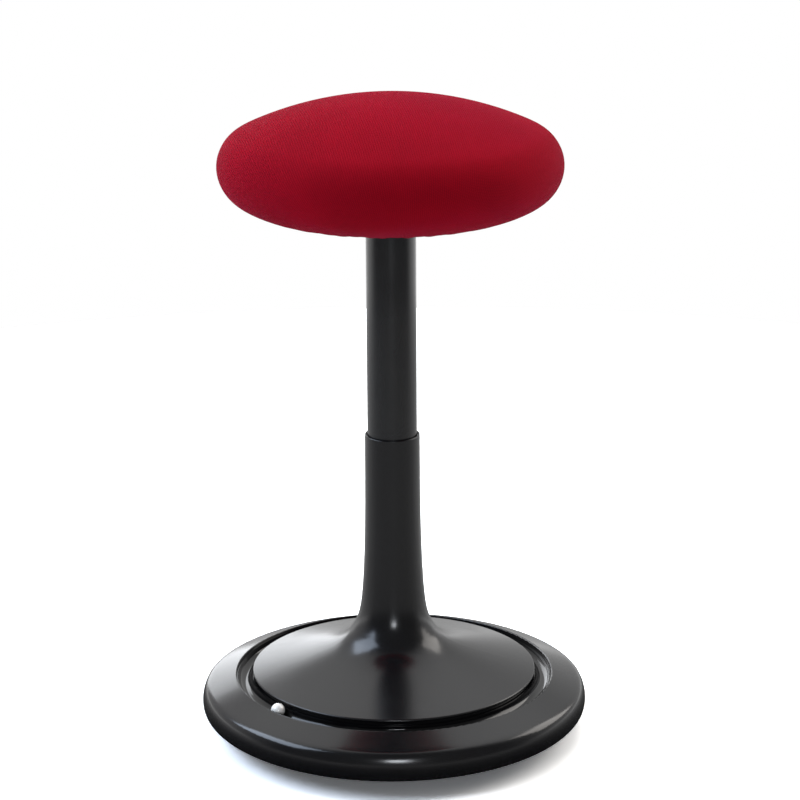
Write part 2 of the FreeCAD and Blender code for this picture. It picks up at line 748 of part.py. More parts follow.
def release_lever():
    """Cranked steel lever: its nose lies over the valve pin, and its arm comes down through the flange."""
    body = new_body("release_lever")
    nose = "pin_top + part_gap"
    leg = "lever_pivot_reach + 8"
    sketch = new_sketch(body, "lever_outline", "YZ_Plane")
    outline(sketch, [
        ("0 - 4", nose),
        ("5", nose),
        ("lever_pivot_reach + 3", "pivot_height - 4.6"),
        (leg, "seat_deck"),
        (leg, "arm_foot + 6"),
        (leg + " + 6", "arm_foot", [(leg + " + 1.76", "arm_foot + 1.76")]),
        ("lever_reach", "arm_foot"),
        ("lever_reach", "arm_top"),
        (leg + " + 9", "arm_top"),
        (leg + " + 6", "arm_top + 3", [(leg + " + 6.88", "arm_top + 0.88")]),
        (leg + " + 6", "seat_deck + 3"),
        ("lever_pivot_reach + 6", "pivot_height + 5.5"),
        ("lever_pivot_reach - 6", "pivot_height + 5.5"),
        ("0 - 4", nose + " + 5"),
    ])
    pad(body, "lever_blade", sketch, "lever_width", midplane=True)
    cut_through(body, "lever_eye", circle_sketch(body, "lever_eye_outline", "YZ_Plane", "lever_pivot_reach",
                                                 "pivot_height", "lever_pin_radius + slide_fit"))


def lever_grip():
    """Plastic paddle pushed onto the end of the lever, its edges rounded for the fingers."""
    body = new_body("lever_grip")
    near = "(lever_reach - 12)"
    far = "(lever_reach - 12 + grip_length)"
    half = "grip_width / 2"
    sketch = new_sketch(body, "grip_outline", "XY_Plane", "arm_middle - grip_thickness / 2")
    outline(sketch, [
        ("0 - 0.2 * grip_width", near),
        ("0.2 * grip_width", near),
        (half, near + " + 20", [("0.42 * grip_width", near + " + 5")]),
        (half, far + " - 10"),
        ("0 - " + half, far + " - 10", [("0", far)]),
        ("0 - " + half, near + " + 20"),
        ("0 - 0.2 * grip_width", near, [("0 - 0.42 * grip_width", near + " + 5")]),
    ][:-1])
    block = pad(body, "grip_solid", sketch, "grip_thickness")
    doc.recompute()
    flats = ["Face%d" % number for number, face in enumerate(block.Shape.Faces, 1)
             if abs(face.normalAt(0, 0).z) > 0.99]
    rounding = body.newObject("PartDesign::Fillet", "grip_rounding")
    rounding.Base = (block, flats)
    bind(rounding, "Radius", "grip_rounding")
    doc.recompute()
    socket = new_sketch(body, "grip_socket_outline", "XZ_Plane")
    side = "lever_width / 2 + press_fit"
    outline(socket, [("0 - (%s)" % side, "arm_foot - press_fit"), (side, "arm_foot - press_fit"),
                     (side, "arm_top + press_fit"), ("0 - (%s)" % side, "arm_top + press_fit")])
    cut = body.newObject("PartDesign::Pocket", "grip_socket")
    cut.Profile = socket
    bind(cut, "Length", "lever_reach + part_gap")


def seat_shell():
    """Moulded pan under the foam, raised in the middle to clear the lever."""
    body = new_body("seat_shell")
    turned(body, "pan", [
        ("well_radius", "seat_deck"),
        ("shell_radius - 6 * shell_edge_bevel", "seat_deck"),
        ("shell_radius", "seat_deck + shell_edge_bevel"),
        ("shell_radius", "shell_top"),
        ("well_radius + shell_wall", "shell_top"),
        ("well_radius + shell_wall", "well_top + shell_wall"),
        ("0", "well_top + shell_wall"),
        ("0", "well_top"),
        ("well_radius", "well_top"),
    ])
    round_holes(body, "seat_screw_holes", "seat_screw_circle", "seat_screw_radius + press_fit", 4)


def cushion(inset):
    """The cushion's section, moved inwards by an inset: its crown point, then the ends of its crown, shoulder,
    belly and underside, each with a point on its arc, then the edge that is drawn in under the shell."""
    across = "(seat_radius - %s)" % inset
    low = "(seat_underside + %s)" % inset
    rise = "(seat_depth - 2 * %s)" % inset
    drop = "(0.2967 * %s)" % rise
    reach = "(0.8823 * %s)" % across
    crown_radius = "((%s ^ 2 + %s ^ 2) / (2 * %s))" % (reach, drop, drop)
    top = "%s + %s" % (low, rise)
    middle = "%s - %s + sqrt(%s ^ 2 - (%s / 2) ^ 2)" % (top, crown_radius, crown_radius, reach)
    corners = [("0", top), (reach, "%s - %s" % (top, drop), [(reach + " / 2", middle)])]
    for end_out, end_up, via_out, via_up in (
        (1, 0.4265, 0.9682, 0.5899),
        (0.8829, 0.1272, 0.9686, 0.2535),
        (0.5609, 0, 0.7276, 0.0324),
    ):
        corners.append(("%s * %s" % (end_out, across), "%s + %s * %s" % (low, end_up, rise),
                        [("%s * %s" % (via_out, across), "%s + %s * %s" % (low, via_up, rise))]))
    return corners, low


def seat_foam():
    """Moulded foam body between the shell and the cover."""
    body = new_body("seat_foam")
    corners, low = cushion("(cover_thickness + part_gap)")
    turned(body, "foam", corners + [("0", low)])
    sketch = new_sketch(body, "shell_space_outline", "XZ_Plane")
    outline(sketch, [
        ("0", low + " - 2"),
        ("shell_radius + part_gap", low + " - 2"),
        ("shell_radius + part_gap", "shell_top + part_gap"),
        ("well_radius + shell_wall + part_gap", "shell_top + part_gap"),
        ("well_radius + shell_wall + part_gap", "well_top + shell_wall + part_gap"),
        ("0", "well_top + shell_wall + part_gap"),
    ])
    space = body.newObject("PartDesign::Groove", "shell_space")
    space.Profile = sketch
    space.ReferenceAxis = (sketch, ["V_Axis"])
    space.Angle = 360


def seat_cover():
    """Sewn fabric cover, drawn in under the edge of the shell."""
    skin, low = cushion("0")
    lining, lining_low = cushion("cover_thickness")
    arcs = [corner[2] for corner in lining[1:]]
    inside = [corner[:2] + (bend,) for corner, bend in zip(reversed(lining[:-1]), reversed(arcs))]
    turned(new_body("seat_cover"), "cover", skin + [
        ("cover_wrap_radius", low),
        ("cover_wrap_radius", lining_low),
        lining[-1][:2],
    ] + inside)


def underside_cover():
    """Moulded trim disc that hides the drawn-in edge of the fabric."""
    high = "seat_underside - part_gap"
    low = "seat_underside - part_gap - trim_thickness"
    turned(new_body("underside_cover"), "trim", [
        ("trim_inner_radius", low),
        ("trim_outer_radius - 1", low),
        ("trim_outer_radius", low + " + 1"),
        ("trim_outer_radius", high),
        ("trim_inner_radius + 4", high),
        ("trim_inner_radius + 4", "seat_deck"),
        ("trim_inner_radius", "seat_deck"),
    ])


rubber_sole()
rocker_dish()
base_ring()
base_plate()
weight_ring()
fasteners("weight_bolts", "weight_bolt_circle", 4, "weight_bolt_radius", "1.8 * weight_bolt_radius",
          "1.3 * weight_bolt_radius", "weight_underside", "deck_height", hexagonal=True)
ball_track()
track_ball()
pedestal()
fasteners("pedestal_screws", "pedestal_screw_circle", 6, "pedestal_screw_radius", "1.7 * pedestal_screw_radius",
          "pedestal_screw_radius", "plate_underside", "flange_top")
fasteners("ring_screws", "ring_screw_circle", 8, "ring_screw_radius", "1.8 * ring_screw_radius",
          "ring_screw_radius", "plate_underside", "deck_height + 0.65 * lip_rise")
hub_cup()
bushes()
thrust_bearing()
buffer()
piston_rod()
piston()
rod_fixings()
seat_tube()
gas_cylinder()
valve_pin()
seat_hub()
lever_pin()
release_lever()
lever_grip()
seat_shell()
fasteners("seat_screws", "seat_screw_circle", 4, "seat_screw_radius", "1.8 * seat_screw_radius",
          "1.1 * seat_screw_radius", "tube_top", "shell_top")
seat_foam()
seat_cover()
underside_cover()

doc.recompute()
for item in doc.Objects:
    if "Invalid" in item.State or "Error" in item.State:
        raise RuntimeError("failed: %s %s" % (item.Name, item.State))
    if item.TypeId == "Sketcher::SketchObject" and not item.FullyConstrained:
        raise RuntimeError("loose sketch: " + item.Name)
bodies = [item for item in doc.Objects if item.TypeId == "PartDesign::Body"]
for body in bodies:
    if body.Shape.isNull() or not body.Shape.isValid():
        raise RuntimeError("bad shape: " + body.Label)
os.makedirs("parts", exist_ok=True)
for body in bodies:
    body.Shape.exportStep("parts/%s.step" % body.Label)
    print(body.Label, len(body.Shape.Solids), round(body.Shape.Volume))
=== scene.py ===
import math

import bmesh
import bpy
from mathutils import Matrix, Vector


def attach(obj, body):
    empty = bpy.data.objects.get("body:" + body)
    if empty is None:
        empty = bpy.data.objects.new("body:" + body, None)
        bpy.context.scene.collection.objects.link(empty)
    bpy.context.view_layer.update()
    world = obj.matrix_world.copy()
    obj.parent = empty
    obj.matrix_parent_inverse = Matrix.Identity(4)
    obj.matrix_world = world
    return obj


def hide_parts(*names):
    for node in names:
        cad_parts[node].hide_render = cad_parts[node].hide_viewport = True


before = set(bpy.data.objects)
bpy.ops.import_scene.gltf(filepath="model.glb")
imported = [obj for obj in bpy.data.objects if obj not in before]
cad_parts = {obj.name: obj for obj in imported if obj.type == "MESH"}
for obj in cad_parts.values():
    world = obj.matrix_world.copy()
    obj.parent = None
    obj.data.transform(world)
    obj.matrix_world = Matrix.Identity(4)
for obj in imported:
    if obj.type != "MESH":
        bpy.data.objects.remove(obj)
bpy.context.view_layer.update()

# Camera: a long lens that stands well off in front of the stool, at about chest height, and is
# aimed down at the middle of the column.
scene = bpy.context.scene
camera = bpy.data.objects.new("camera", bpy.data.cameras.new("camera"))
camera.data.lens = 130
camera.data.sensor_width = 36
camera.data.shift_x = 0.01
camera.data.clip_end = 40
standing = Matrix.Translation((0, -2.778, 1.171))
tilt = Matrix.Rotation(math.radians(73.52), 4, "X")
roll = Matrix.Rotation(math.radians(-0.4), 4, "Z")
camera.matrix_world = standing @ tilt @ roll
scene.collection.objects.link(camera)
scene.camera = camera
scene.view_settings.view_transform = "Standard"


# Studio: a white room, bright behind the stool and dim behind the photographer, with a plain white
# floor that keeps the soft shadow of the base.
def add(tree, kind, **settings):
    """Add a node. A setting named after one of its inputs sets that input, and any other sets a property."""
    node = tree.nodes.new("ShaderNode" + kind)
    for name, setting in settings.items():
        words = name.replace("_", " ")
        if hasattr(node, name):
            setattr(node, name, setting)
        else:
            node.inputs[words].default_value = setting
    return node


def join(tree, *pairs):
    """Link each pair of an output and an input."""
    for start, end in pairs:
        tree.links.new(start, end)


def sums(tree, operation, first, second=None, third=None):
    """One math node on sockets or plain numbers, and its result."""
    node = add(tree, "Math", operation=operation)
    for index, source in enumerate((first, second, third)):
        if isinstance(source, (int, float)):
            node.inputs[index].default_value = source
        elif source is not None:
            tree.links.new(source, node.inputs[index])
    return node.outputs[0]


def fade(tree, source, low, high, start=0.0, end=1.0):
    """A source that goes from start to end while it goes from low to high."""
    node = add(tree, "MapRange", interpolation_type="SMOOTHSTEP")
    tree.links.new(source, node.inputs[0])
    for index, number in enumerate((low, high, start, end), 1):
        node.inputs[index].default_value = number
    return node.outputs[0]


room = bpy.data.worlds.new("studio_room")
scene.world = room
room.use_nodes = True
tree = room.node_tree
tree.nodes.clear()
direction = add(tree, "SeparateXYZ")
join(tree, (add(tree, "TexCoord").outputs["Generated"], direction.inputs[0]))
front_level, back_level = 0.14, 0.72
back_wall = fade(tree, direction.outputs["Y"], -0.4, 0.4, front_level, back_level)
behind = fade(tree, direction.outputs["Y"], -0.3, 0.3)
skylight = sums(tree, "MULTIPLY", fade(tree, direction.outputs["Z"], 0.45, 0.8), behind)
horizon = sums(tree, "MULTIPLY", fade(tree, direction.outputs["Z"], 0.0, 0.09, 1.0, 0.0), behind)
skylight_level, horizon_level = 0.6, 0.7
room_light = sums(tree, "MULTIPLY_ADD", horizon, horizon_level, back_wall)
room_light = sums(tree, "MULTIPLY_ADD", skylight, skylight_level, room_light)
path = add(tree, "LightPath")
strength = add(tree, "Mix", data_type="FLOAT")
join(tree, (path.outputs["Is Camera Ray"], strength.inputs[0]), (room_light, strength.inputs[2]))
strength.inputs[3].default_value = 1
shine = add(tree, "Background", Color=(1, 1, 1, 1))
join(tree, (strength.outputs[0], shine.inputs["Strength"]),
     (shine.outputs[0], add(tree, "OutputWorld").inputs["Surface"]))

floor_radius = 1.7
floor_paint, floor_in_picture = 0.7, 1.75
# Front and back levels of the floor's painted glow, which stands in for the lit floor in reflections.
painted_glow_front, painted_glow_back = 0.45, 0.62
floor_mesh = bpy.data.meshes.new("floor")
sheet = bmesh.new()
bmesh.ops.create_circle(sheet, cap_ends=True, segments=128, radius=floor_radius)
sheet.to_mesh(floor_mesh)
sheet.free()
floor = bpy.data.objects.new("floor", floor_mesh)
scene.collection.objects.link(floor)
paint = bpy.data.materials.new("floor_white")
paint.use_nodes = True
tree = paint.node_tree
tree.nodes.clear()
path = add(tree, "LightPath")
level = add(tree, "Mix", data_type="FLOAT")
level.inputs[2].default_value = floor_paint
level.inputs[3].default_value = floor_in_picture
join(tree, (path.outputs["Is Camera Ray"], level.inputs[0]))
tone = add(tree, "CombineColor")
join(tree, *[(level.outputs[0], tone.inputs[index]) for index in range(3)])
matt = add(tree, "BsdfDiffuse")
spot = add(tree, "SeparateXYZ")
glow = add(tree, "Emission")
seen = add(tree, "MixShader")
distance = add(tree, "VectorMath", operation="LENGTH")
ground = add(tree, "TexCoord").outputs["Object"]
# In reflections the floor is a painted glow rather than lit floor. It is dimmer towards the front, and a
# painted shadow near the base fades out between 0.14 and 0.62 m from the axis.
painted_floor_glow = fade(tree, spot.outputs["Y"], -0.5, 0.5, painted_glow_front, painted_glow_back)
painted_shadow_near_base = fade(tree, distance.outputs["Value"], 0.14, 0.62)
join(tree, (tone.outputs[0], matt.inputs["Color"]), (ground, spot.inputs[0]), (ground, distance.inputs[0]),
     (sums(tree, "MULTIPLY", painted_floor_glow, painted_shadow_near_base), glow.inputs["Strength"]),
     (path.outputs["Is Glossy Ray"], seen.inputs[0]), (matt.outputs[0], seen.inputs[1]),
     (glow.outputs[0], seen.inputs[2]), (seen.outputs[0], add(tree, "OutputMaterial").inputs["Surface"]))
floor_mesh.materials.append(paint)

aim = Vector((0, 0, 0.15))
for name, place, width, height, power, color, mirrored in (
    ("left_softbox", (-1.85, -0.05, 1.75), 2.3, 1.2, 48, (0.70, 0.82, 1.0), True),
    ("right_softbox", (1.9, 0.75, 1.35), 1.6, 1.2, 20, (1.0, 0.96, 0.91), True),
    ("overhead_softbox", (0.0, 0.4, 2.9), 2.4, 2.0, 29, (1.0, 0.97, 0.93), False),
    ("rear_panel", (-1.02, 3.2, 0.78), 1.3, 1.5, 16.0, (0.93, 0.96, 1.0), True),
    ("front_lamp", (0.07, -2.3, 0.62), 0.46, 0.36, 9.5, (0.9, 0.94, 1.0), True),
):
    lamp = bpy.data.lights.new(name, "AREA")
    lamp.shape = "RECTANGLE"
    lamp.size = width
    lamp.size_y = height
    lamp.energy = power
    lamp.color = color
    holder = bpy.data.objects.new(name, lamp)
    holder.location = place
    holder.rotation_euler = (aim - Vector(place)).to_track_quat("-Z", "Y").to_euler()
    holder.visible_camera = False
    holder.visible_glossy = mirrored
    scene.collection.objects.link(holder)


# Rubber sole: a black anti-slip skin, moulded with fine rings of low ribs, that the stool
# stands and rocks on. It is bonded to the dish above it.
def group(name, inputs, outputs):
    """An empty shader group with plain number or vector inputs, given as (name, kind, default)."""
    made = bpy.data.node_groups.new(name, "ShaderNodeTree")
    for label, kind, default in inputs:
        socket = made.interface.new_socket(label, in_out="INPUT", socket_type="NodeSocket" + kind)
        if default is not None:
            socket.default_value = default
    for label, kind in outputs:
        made.interface.new_socket(label, in_out="OUTPUT", socket_type="NodeSocket" + kind)
    return made, made.nodes.new("NodeGroupInput"), made.nodes.new("NodeGroupOutput")


def place_group(tree, made, **settings):
    """A group in a material, with its own values."""
    node = tree.nodes.new("ShaderNodeGroup")
    node.node_tree = made
    for name, setting in settings.items():
        node.inputs[name.replace("_", " ")].default_value = setting
    return node


def finish_of(name, base, roughness, **shader):
    """A material with one Principled shader, and its object coordinates."""
    made = bpy.data.materials.new(name)
    made.use_nodes = True
    tree = made.node_tree
    surface = tree.nodes["Principled BSDF"]
    surface.inputs["Base Color"].default_value = (*base, 1)
    surface.inputs["Roughness"].default_value = roughness
    for label, setting in shader.items():
        surface.inputs[label.replace("_", " ")].default_value = setting
    here = add(tree, "TexCoord").outputs["Object"]
    return made, tree, surface, here


def colour_by(tree, pattern, surface):
    """Give a surface the colour and gloss of a placed group."""
    join(tree, (pattern.outputs["Color"], surface.inputs["Base Color"]),
         (pattern.outputs["Roughness"], surface.inputs["Roughness"]))


def raise_bump(tree, surface, height, distance):
    """Bump the surface by a height, in metres at its full value."""
    bump = add(tree, "Bump", Strength=1.0, Distance=distance)
    join(tree, (height, bump.inputs["Height"]), (bump.outputs[0], surface.inputs["Normal"]))


def from_axis(tree, position):
    """How far a position lies from the upright axis of the stool."""
    flat = add(tree, "VectorMath", operation="MULTIPLY")
    flat.inputs[1].default_value = (1, 1, 0)
    reach = add(tree, "VectorMath", operation="LENGTH")
    join(tree, (position, flat.inputs[0]), (flat.outputs[0], reach.inputs[0]))
    return reach.outputs["Value"]


def dress(node, material):
    """Give a CAD node its finish."""
    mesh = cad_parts[node].data
    mesh.materials.clear()
    mesh.materials.append(material)


grain, enter, leave = group("moulded_grain", [
    ("Position", "Vector", None), ("Scale", "Float", 900.0), ("Smooth", "Float", 0.3),
    ("Rough", "Float", 0.5), ("Base", "Color", (0.1, 0.1, 0.1, 1)),
    ("Worn", "Color", (0.2, 0.2, 0.2, 1)),
], [("Height", "Float"), ("Roughness", "Float"), ("Color", "Color")])
fine = add(grain, "TexNoise", Detail=3.0, Roughness=0.6)
broad = add(grain, "TexNoise", Scale=14.0, Detail=2.0)
mottle = add(grain, "Mix", data_type="RGBA")
join(grain, (enter.outputs["Position"], fine.inputs["Vector"]),
     (enter.outputs["Scale"], fine.inputs["Scale"]),
     (enter.outputs["Position"], broad.inputs["Vector"]), (fine.outputs[0], leave.inputs["Height"]),
     (enter.outputs["Base"], mottle.inputs[6]), (enter.outputs["Worn"], mottle.inputs[7]),
     (fade(grain, broad.outputs[0], 0.35, 0.75), mottle.inputs[0]),
     (mottle.outputs[2], leave.inputs["Color"]))
spread = sums(grain, "SUBTRACT", enter.outputs["Rough"], enter.outputs["Smooth"])
dulled = fade(grain, broad.outputs[0], 0.3, 0.7)
join(grain, (sums(grain, "MULTIPLY_ADD", dulled, spread, enter.outputs["Smooth"]), leave.inputs["Roughness"]))


def moulding(name, base, worn, smooth, rough, scale, depth, **shader):
    """A moulded or coated finish: fine grain in the surface, with broad soft changes of gloss."""
    made, tree, surface, here = finish_of(name, base, rough, **shader)
    skin = place_group(tree, grain, Scale=scale, Smooth=smooth, Rough=rough, Base=(*base, 1), Worn=(*worn, 1))
    join(tree, (here, skin.inputs["Position"]))
    colour_by(tree, skin, surface)
    raise_bump(tree, surface, skin.outputs["Height"], depth)
    return made


sole_rubber, tree, surface, here = finish_of("sole_rubber", (0.018, 0.018, 0.019), 0.75)
skin = place_group(tree, grain, Scale=700.0, Smooth=0.62, Rough=0.86, Base=(0.016, 0.016, 0.017, 1),
                   Worn=(0.034, 0.033, 0.032, 1))
join(tree, (here, skin.inputs["Position"]))
colour_by(tree, skin, surface)
rib_pitch, rib_height, grain_share = 0.005, 0.0006, 0.15
wave = sums(tree, "SINE", sums(tree, "MULTIPLY", from_axis(tree, here), 2 * math.pi / rib_pitch))
ribs = fade(tree, wave, -0.2, 0.4)
raise_bump(tree, surface, sums(tree, "MULTIPLY_ADD", skin.outputs["Height"], grain_share, ribs), rib_height)
dress("rubber_sole", sole_rubber)

# Dish: a black injection-moulded plastic bowl under the plate, ribbed inside like the spokes of a
# wheel, with a level edge that the ring stands on.
black_moulding = moulding("black_moulding", (0.020, 0.020, 0.021), (0.028, 0.028, 0.029), 0.42, 0.56, 1400.0,
                          0.00003)
dress("rocker_dish", black_moulding)

# Base ring: one thick moulding in smooth black plastic, polished to a satin gloss, screwed to the
# plate from below so that no fixing shows.
black_ring = moulding("black_ring", (0.0040, 0.0040, 0.0050), (0.0055, 0.0055, 0.0060), 0.15, 0.20, 320.0,
                      0.000006, IOR=1.5)
dress("base_ring", black_ring)

# Base plate and hub: a steel disc with a turned cup welded through its middle, both in a thin coat
# of black powder paint.
plate_steel = moulding("plate_steel", (0.022, 0.022, 0.023), (0.032, 0.032, 0.033), 0.34, 0.5, 900.0, 0.00006)
dress("base_plate", plate_steel)
dress("hub_cup", plate_steel)

# Ballast: a heavy ring of rough grey cast iron under the plate, dark with oil. Four bolts that pass
# through the plate hold it.
cast_ballast = moulding("cast_ballast", (0.060, 0.056, 0.052), (0.11, 0.10, 0.092), 0.55, 0.8, 260.0,
                        0.0005, Metallic=0.8)
dress("weight_ring", cast_ballast)

# Screws and bolts: zinc-plated steel, driven from below through the plate, and from below through
# the head of the column into the seat shell.
turning, enter, leave = group("turned_marks", [
    ("Position", "Vector", None), ("Pitch", "Float", 0.0004), ("Base", "Color", (0.5, 0.5, 0.5, 1)),
    ("Shade", "Color", (0.3, 0.3, 0.3, 1)), ("Smooth", "Float", 0.2), ("Rough", "Float", 0.4),
], [("Height", "Float"), ("Roughness", "Float"), ("Color", "Color")])
level = add(turning, "SeparateXYZ")
marks = add(turning, "CombineXYZ")
lines = add(turning, "TexNoise", Scale=1.0, Detail=2.0)
stain = add(turning, "TexNoise", Scale=60.0, Detail=3.0)
tint = add(turning, "Mix", data_type="RGBA")
rings = sums(turning, "DIVIDE", from_axis(turning, enter.outputs["Position"]), enter.outputs["Pitch"])
join(turning, (rings, marks.inputs["X"]), (enter.outputs["Position"], level.inputs[0]),
     (sums(turning, "DIVIDE", level.outputs["Z"], enter.outputs["Pitch"]), marks.inputs["Z"]),
     (marks.outputs[0], lines.inputs["Vector"]), (lines.outputs[0], leave.inputs["Height"]),
     (enter.outputs["Position"], stain.inputs["Vector"]),
     (enter.outputs["Base"], tint.inputs[6]), (enter.outputs["Shade"], tint.inputs[7]),
     (fade(turning, stain.outputs[0], 0.4, 0.75), tint.inputs[0]), (tint.outputs[2], leave.inputs["Color"]))
spread = sums(turning, "SUBTRACT", enter.outputs["Rough"], enter.outputs["Smooth"])
join(turning, (sums(turning, "MULTIPLY_ADD", lines.outputs[0], spread, enter.outputs["Smooth"]),
               leave.inputs["Roughness"]))


def turned(name, base, shade, smooth, rough, pitch, depth, **shader):
    """A metal or plastic turned on a lathe, with fine rings left by the tool."""
    made, tree, surface, here = finish_of(name, base, rough, **shader)
    skin = place_group(tree, turning, Pitch=pitch, Base=(*base, 1), Shade=(*shade, 1), Smooth=smooth,
                       Rough=rough)
    join(tree, (here, skin.inputs["Position"]))
    colour_by(tree, skin, surface)
    raise_bump(tree, surface, skin.outputs["Height"], depth)
    return made


zinc = moulding("zinc_steel", (0.52, 0.52, 0.50), (0.40, 0.41, 0.42), 0.28, 0.42, 600.0, 0.00002,
                Metallic=1.0)


def tree_inputs(name, sizes):
    """An empty geometry tree with named sizes, and its input and output nodes."""
    made = bpy.data.node_groups.new(name, "GeometryNodeTree")
    for label, kind in sizes:
        made.interface.new_socket(label, in_out="INPUT", socket_type="NodeSocket" + kind)
    made.interface.new_socket("Geometry", in_out="OUTPUT", socket_type="NodeSocketGeometry")
    return made, made.nodes.new("NodeGroupInput"), made.nodes.new("NodeGroupOutput")


def shape(tree, kind, **settings):
    """Add a geometry node, its properties and its inputs set by name."""
    node = tree.nodes.new(kind)
    for name, setting in settings.items():
        if hasattr(node, name):
            setattr(node, name, setting)
        else:
            node.inputs[name.replace("_", " ")].default_value = setting
    return node


screw_circle, enter, leave = tree_inputs("screw_circle", [
    ("Circle", "Float"), ("Count", "Int"), ("Seat", "Float"), ("Length", "Float"), ("Shank", "Float"),
    ("Head", "Float"), ("Head Height", "Float"), ("Head Sides", "Int"), ("Socket", "Float"),
    ("Finish", "Material"),
])
g, size = screw_circle, enter.outputs
shank = shape(g, "GeometryNodeMeshCylinder", Vertices=20)
head = shape(g, "GeometryNodeMeshCylinder", fill_type="NGON")
socket = shape(g, "GeometryNodeMeshCylinder", Vertices=6)
hollow = shape(g, "GeometryNodeMeshBoolean", operation="DIFFERENCE")
parts = shape(g, "GeometryNodeJoinGeometry")
ringed = shape(g, "GeometryNodeMeshCircle")
stand = shape(g, "GeometryNodeInstanceOnPoints")
real = shape(g, "GeometryNodeRealizeInstances")
finish = shape(g, "GeometryNodeSetMaterial")


def moved(mesh, up):
    """The mesh of a node, lifted by a height."""
    lift = shape(g, "GeometryNodeTransform")
    rise = add(g, "CombineXYZ")
    join(g, (mesh, lift.inputs["Geometry"]), (up, rise.inputs["Z"]),
         (rise.outputs[0], lift.inputs["Translation"]))
    return lift.outputs[0]


join(g, (size["Shank"], shank.inputs["Radius"]), (size["Length"], shank.inputs["Depth"]),
     (size["Head Sides"], head.inputs["Vertices"]), (size["Head"], head.inputs["Radius"]),
     (size["Head Height"], head.inputs["Depth"]), (size["Socket"], socket.inputs["Radius"]),
     (size["Head Height"], socket.inputs["Depth"]))
head_middle = sums(g, "MULTIPLY", size["Head Height"], -0.5)
socket_middle = sums(g, "MULTIPLY", size["Head Height"], -1.05)
shank_middle = sums(g, "MULTIPLY", size["Length"], 0.5)
join(g, (moved(head.outputs["Mesh"], head_middle), hollow.inputs["Mesh 1"]),
     (moved(socket.outputs["Mesh"], socket_middle), hollow.inputs["Mesh 2"]),
     (hollow.outputs["Mesh"], parts.inputs[0]), (moved(shank.outputs["Mesh"], shank_middle), parts.inputs[0]),
     (size["Count"], ringed.inputs["Vertices"]), (size["Circle"], ringed.inputs["Radius"]),
     (moved(ringed.outputs["Mesh"], size["Seat"]), stand.inputs["Points"]),
     (parts.outputs[0], stand.inputs["Instance"]), (stand.outputs[0], real.inputs[0]),
     (real.outputs[0], finish.inputs["Geometry"]), (size["Finish"], finish.inputs["Material"]),
     (finish.outputs[0], leave.inputs[0]))


def plain(name, mesh, material=None):
    """A new object that holds a mesh, at the origin."""
    made = bpy.data.objects.new(name, mesh)
    scene.collection.objects.link(made)
    if material:
        mesh.materials.clear()
        mesh.materials.append(material)
    return made


def grown(name, tree, **settings):
    """Run a geometry tree with its sizes and keep its result as a plain mesh."""
    seed = plain(name + "_seed", bpy.data.meshes.new(name + "_seed"))
    modifier = seed.modifiers.new("grow", "NODES")
    modifier.node_group = tree
    for item in tree.interface.items_tree:
        if item.in_out == "INPUT" and item.name.replace(" ", "_") in settings:
            modifier[item.identifier] = settings[item.name.replace(" ", "_")]
    bpy.context.view_layer.update()
    mesh = bpy.data.meshes.new_from_object(seed.evaluated_get(bpy.context.evaluated_depsgraph_get()))
    bpy.data.objects.remove(seed)
    return plain(name, mesh)


for (name, body, circle, count, seat_height, length, shank_radius, head_radius, head_height, sides,
     socket_radius) in (
    ("weight_bolts", "base", 0.0976, 4, 0.032, 0.0148, 0.004, 0.0072, 0.0052, 6, 0.0001),
    ("pedestal_screws", "base", 0.1322, 6, 0.044, 0.0088, 0.003, 0.0051, 0.003, 24, 0.0026),
    ("ring_screws", "base", 0.167, 8, 0.044, 0.0110, 0.002, 0.0036, 0.002, 24, 0.0018),
    ("seat_screws", "column", 0.051, 4, 0.5356, 0.0148, 0.003, 0.0054, 0.0033, 24, 0.0028),
):
    screws = grown(name + "_driven", screw_circle, Circle=circle, Count=count, Seat=seat_height, Length=length,
                   Shank=shank_radius, Head=head_radius, Head_Height=head_height, Head_Sides=sides,
                   Socket=socket_radius, Finish=zinc)
    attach(screws, body)
    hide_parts(name)

# Ball channel: a moulded black plastic gutter with a polished round groove, pressed into the gap
# between the ring and the pedestal, on top of the plate.
track_moulding = moulding("track_moulding", (0.003, 0.003, 0.0035), (0.004, 0.004, 0.0045), 0.08, 0.13,
                          500.0, 0.000004, IOR=1.44)
dress("ball_track", track_moulding)

# Ball: a pale steel ball, ground and polished, loose in its channel. It rolls round as the stool
# is rocked.
ball_steel = turned("ball_steel", (0.97, 0.96, 0.93), (0.88, 0.87, 0.84), 0.18, 0.30, 0.0009, 0.0000008,
                    Metallic=0.1)
dress("track_ball", ball_steel)

# Bearing, rod and valve pin: hardened and ground steel, lightly oiled. The bearing and the rod sit
# in the foot of the column, and the pin passes through the top of the gas cylinder.
bright_steel = turned("bright_steel", (0.72, 0.71, 0.69), (0.62, 0.61, 0.6), 0.05, 0.16, 0.0009, 0.0000008,
                      Metallic=1.0)
for node in ("bearing_lower_race", "bearing_balls", "bearing_upper_race", "piston_rod", "valve_pin"):
    dress(node, bright_steel)

# Pedestal: a metal trumpet, spun to a long neck and a wide shallow cone with a rolled rim, and
# lacquered in a smooth semi-gloss black. Six screws through the plate hold its skirt.
black_pedestal = moulding("black_pedestal", (0.0040, 0.0040, 0.0050), (0.0052, 0.0052, 0.0058), 0.20, 0.25,
                          260.0, 0.000008, IOR=1.5)
dress("pedestal", black_pedestal)

# Guides: two plain sleeves of slippery black plastic, a press fit in the neck, and the cage, piston,
# gland and centring ring, turned from the same plastic.
bush_plastic = turned("bush_plastic", (0.055, 0.055, 0.057), (0.07, 0.07, 0.072), 0.32, 0.46, 0.0005, 0.00001)
for node in ("upper_bush", "lower_bush", "bearing_cage", "piston", "cylinder_gland", "cylinder_ring"):
    dress(node, bush_plastic)

